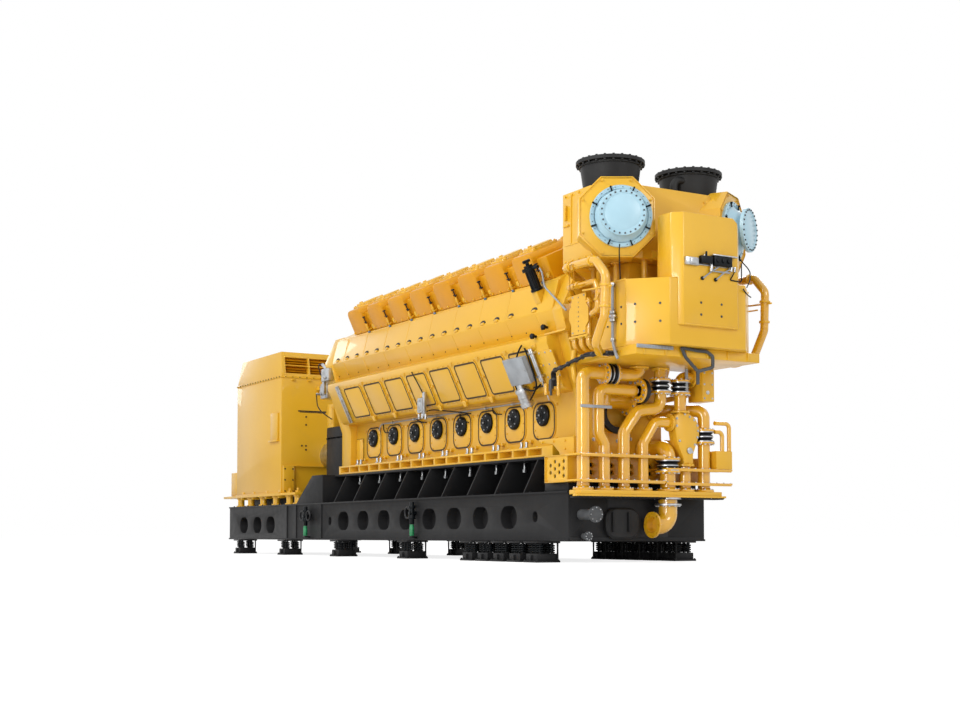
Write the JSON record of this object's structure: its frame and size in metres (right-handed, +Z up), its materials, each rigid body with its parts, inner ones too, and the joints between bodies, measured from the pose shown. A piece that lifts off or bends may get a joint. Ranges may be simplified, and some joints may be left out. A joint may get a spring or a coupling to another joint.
{
  "type": "diesel generator set",
  "caption": "Medium-speed V-type diesel engine and alternator coupled on one sprung base frame, with turbochargers, charge-air cooler and pipework at the free end.",
  "frame": {"origin": "on the floor, below the centre of the whole set", "axes": "+X along the crankshaft towards the free end with the turbochargers, +Z up, -Y the left side of the engine"},
  "size_m": [12.914, 2.4538, 4.704],
  "materials": {
    "base_black": "satin paint",
    "bellows_rubber": "matt",
    "cap_grey": "satin",
    "engine_yellow": "gloss paint",
    "exhaust_black": "matt heat-resistant paint",
    "inlet_blue": "satin paint",
    "shaft_steel": "machined",
    "valve_black": "satin paint"
  },
  "bodies": {
    "root": {"air_inlet_left": "inlet_blue", "air_inlet_right": "inlet_blue", "alternator_end_box": "engine_yellow", "alternator_hood": "engine_yellow", "alternator_housing": "engine_yellow", "alternator_rails": "engine_yellow", "alternator_shaft": "shaft_steel", "alternator_stubs": "engine_yellow", "auxiliary_box": "engine_yellow", "auxiliary_pipes": "engine_yellow", "base_beam_left": "base_black", "base_beam_right": "base_black", "base_cross_members": "base_black", "base_end_caps": "cap_grey", "base_end_cover": "base_black", "base_step": "base_black", "bed_gussets": "base_black", "cam_covers": "engine_yellow", "console": "engine_yellow", "cooler_casing": "engine_yellow", "cooler_loops": "engine_yellow", "cooler_manifold": "engine_yellow", "cooler_upper_box": "engine_yellow", "coupling_guard": "base_black", "crankcase": "engine_yellow", "crankcase_doors": "engine_yellow", "cylinder_heads": "engine_yellow", "drain_elbow": "engine_yellow", "drain_pipe": "engine_yellow", "end_brackets": "engine_yellow", "engine_bed": "base_black", "exhaust_lagging": "engine_yellow", "exhaust_outlet_left": "exhaust_black", "exhaust_outlet_right": "exhaust_black", "filter_brackets": "engine_yellow", "filter_pipes": "engine_yellow", "flywheel_housing": "engine_yellow", "foot_rails": "engine_yellow", "free_end_housing": "engine_yellow", "gallery_covers": "engine_yellow", "head_covers": "engine_yellow", "oil_box": "engine_yellow", "oil_casting": "engine_yellow", "oil_pipes": "engine_yellow", "pipe_bellows": "bellows_rubber", "pipe_foot_plate": "engine_yellow", "pipe_shelf": "engine_yellow", "relief_valves": "valve_black", "spring_isolators_left": "base_black", "spring_isolators_right": "base_black", "start_valve": "valve_black", "start_valve_wedge": "engine_yellow", "tie_plates": "engine_yellow", "truss_beam": "engine_yellow", "turbo_hood": "engine_yellow", "water_pipes": "engine_yellow"}
  },
  "joints": []
}
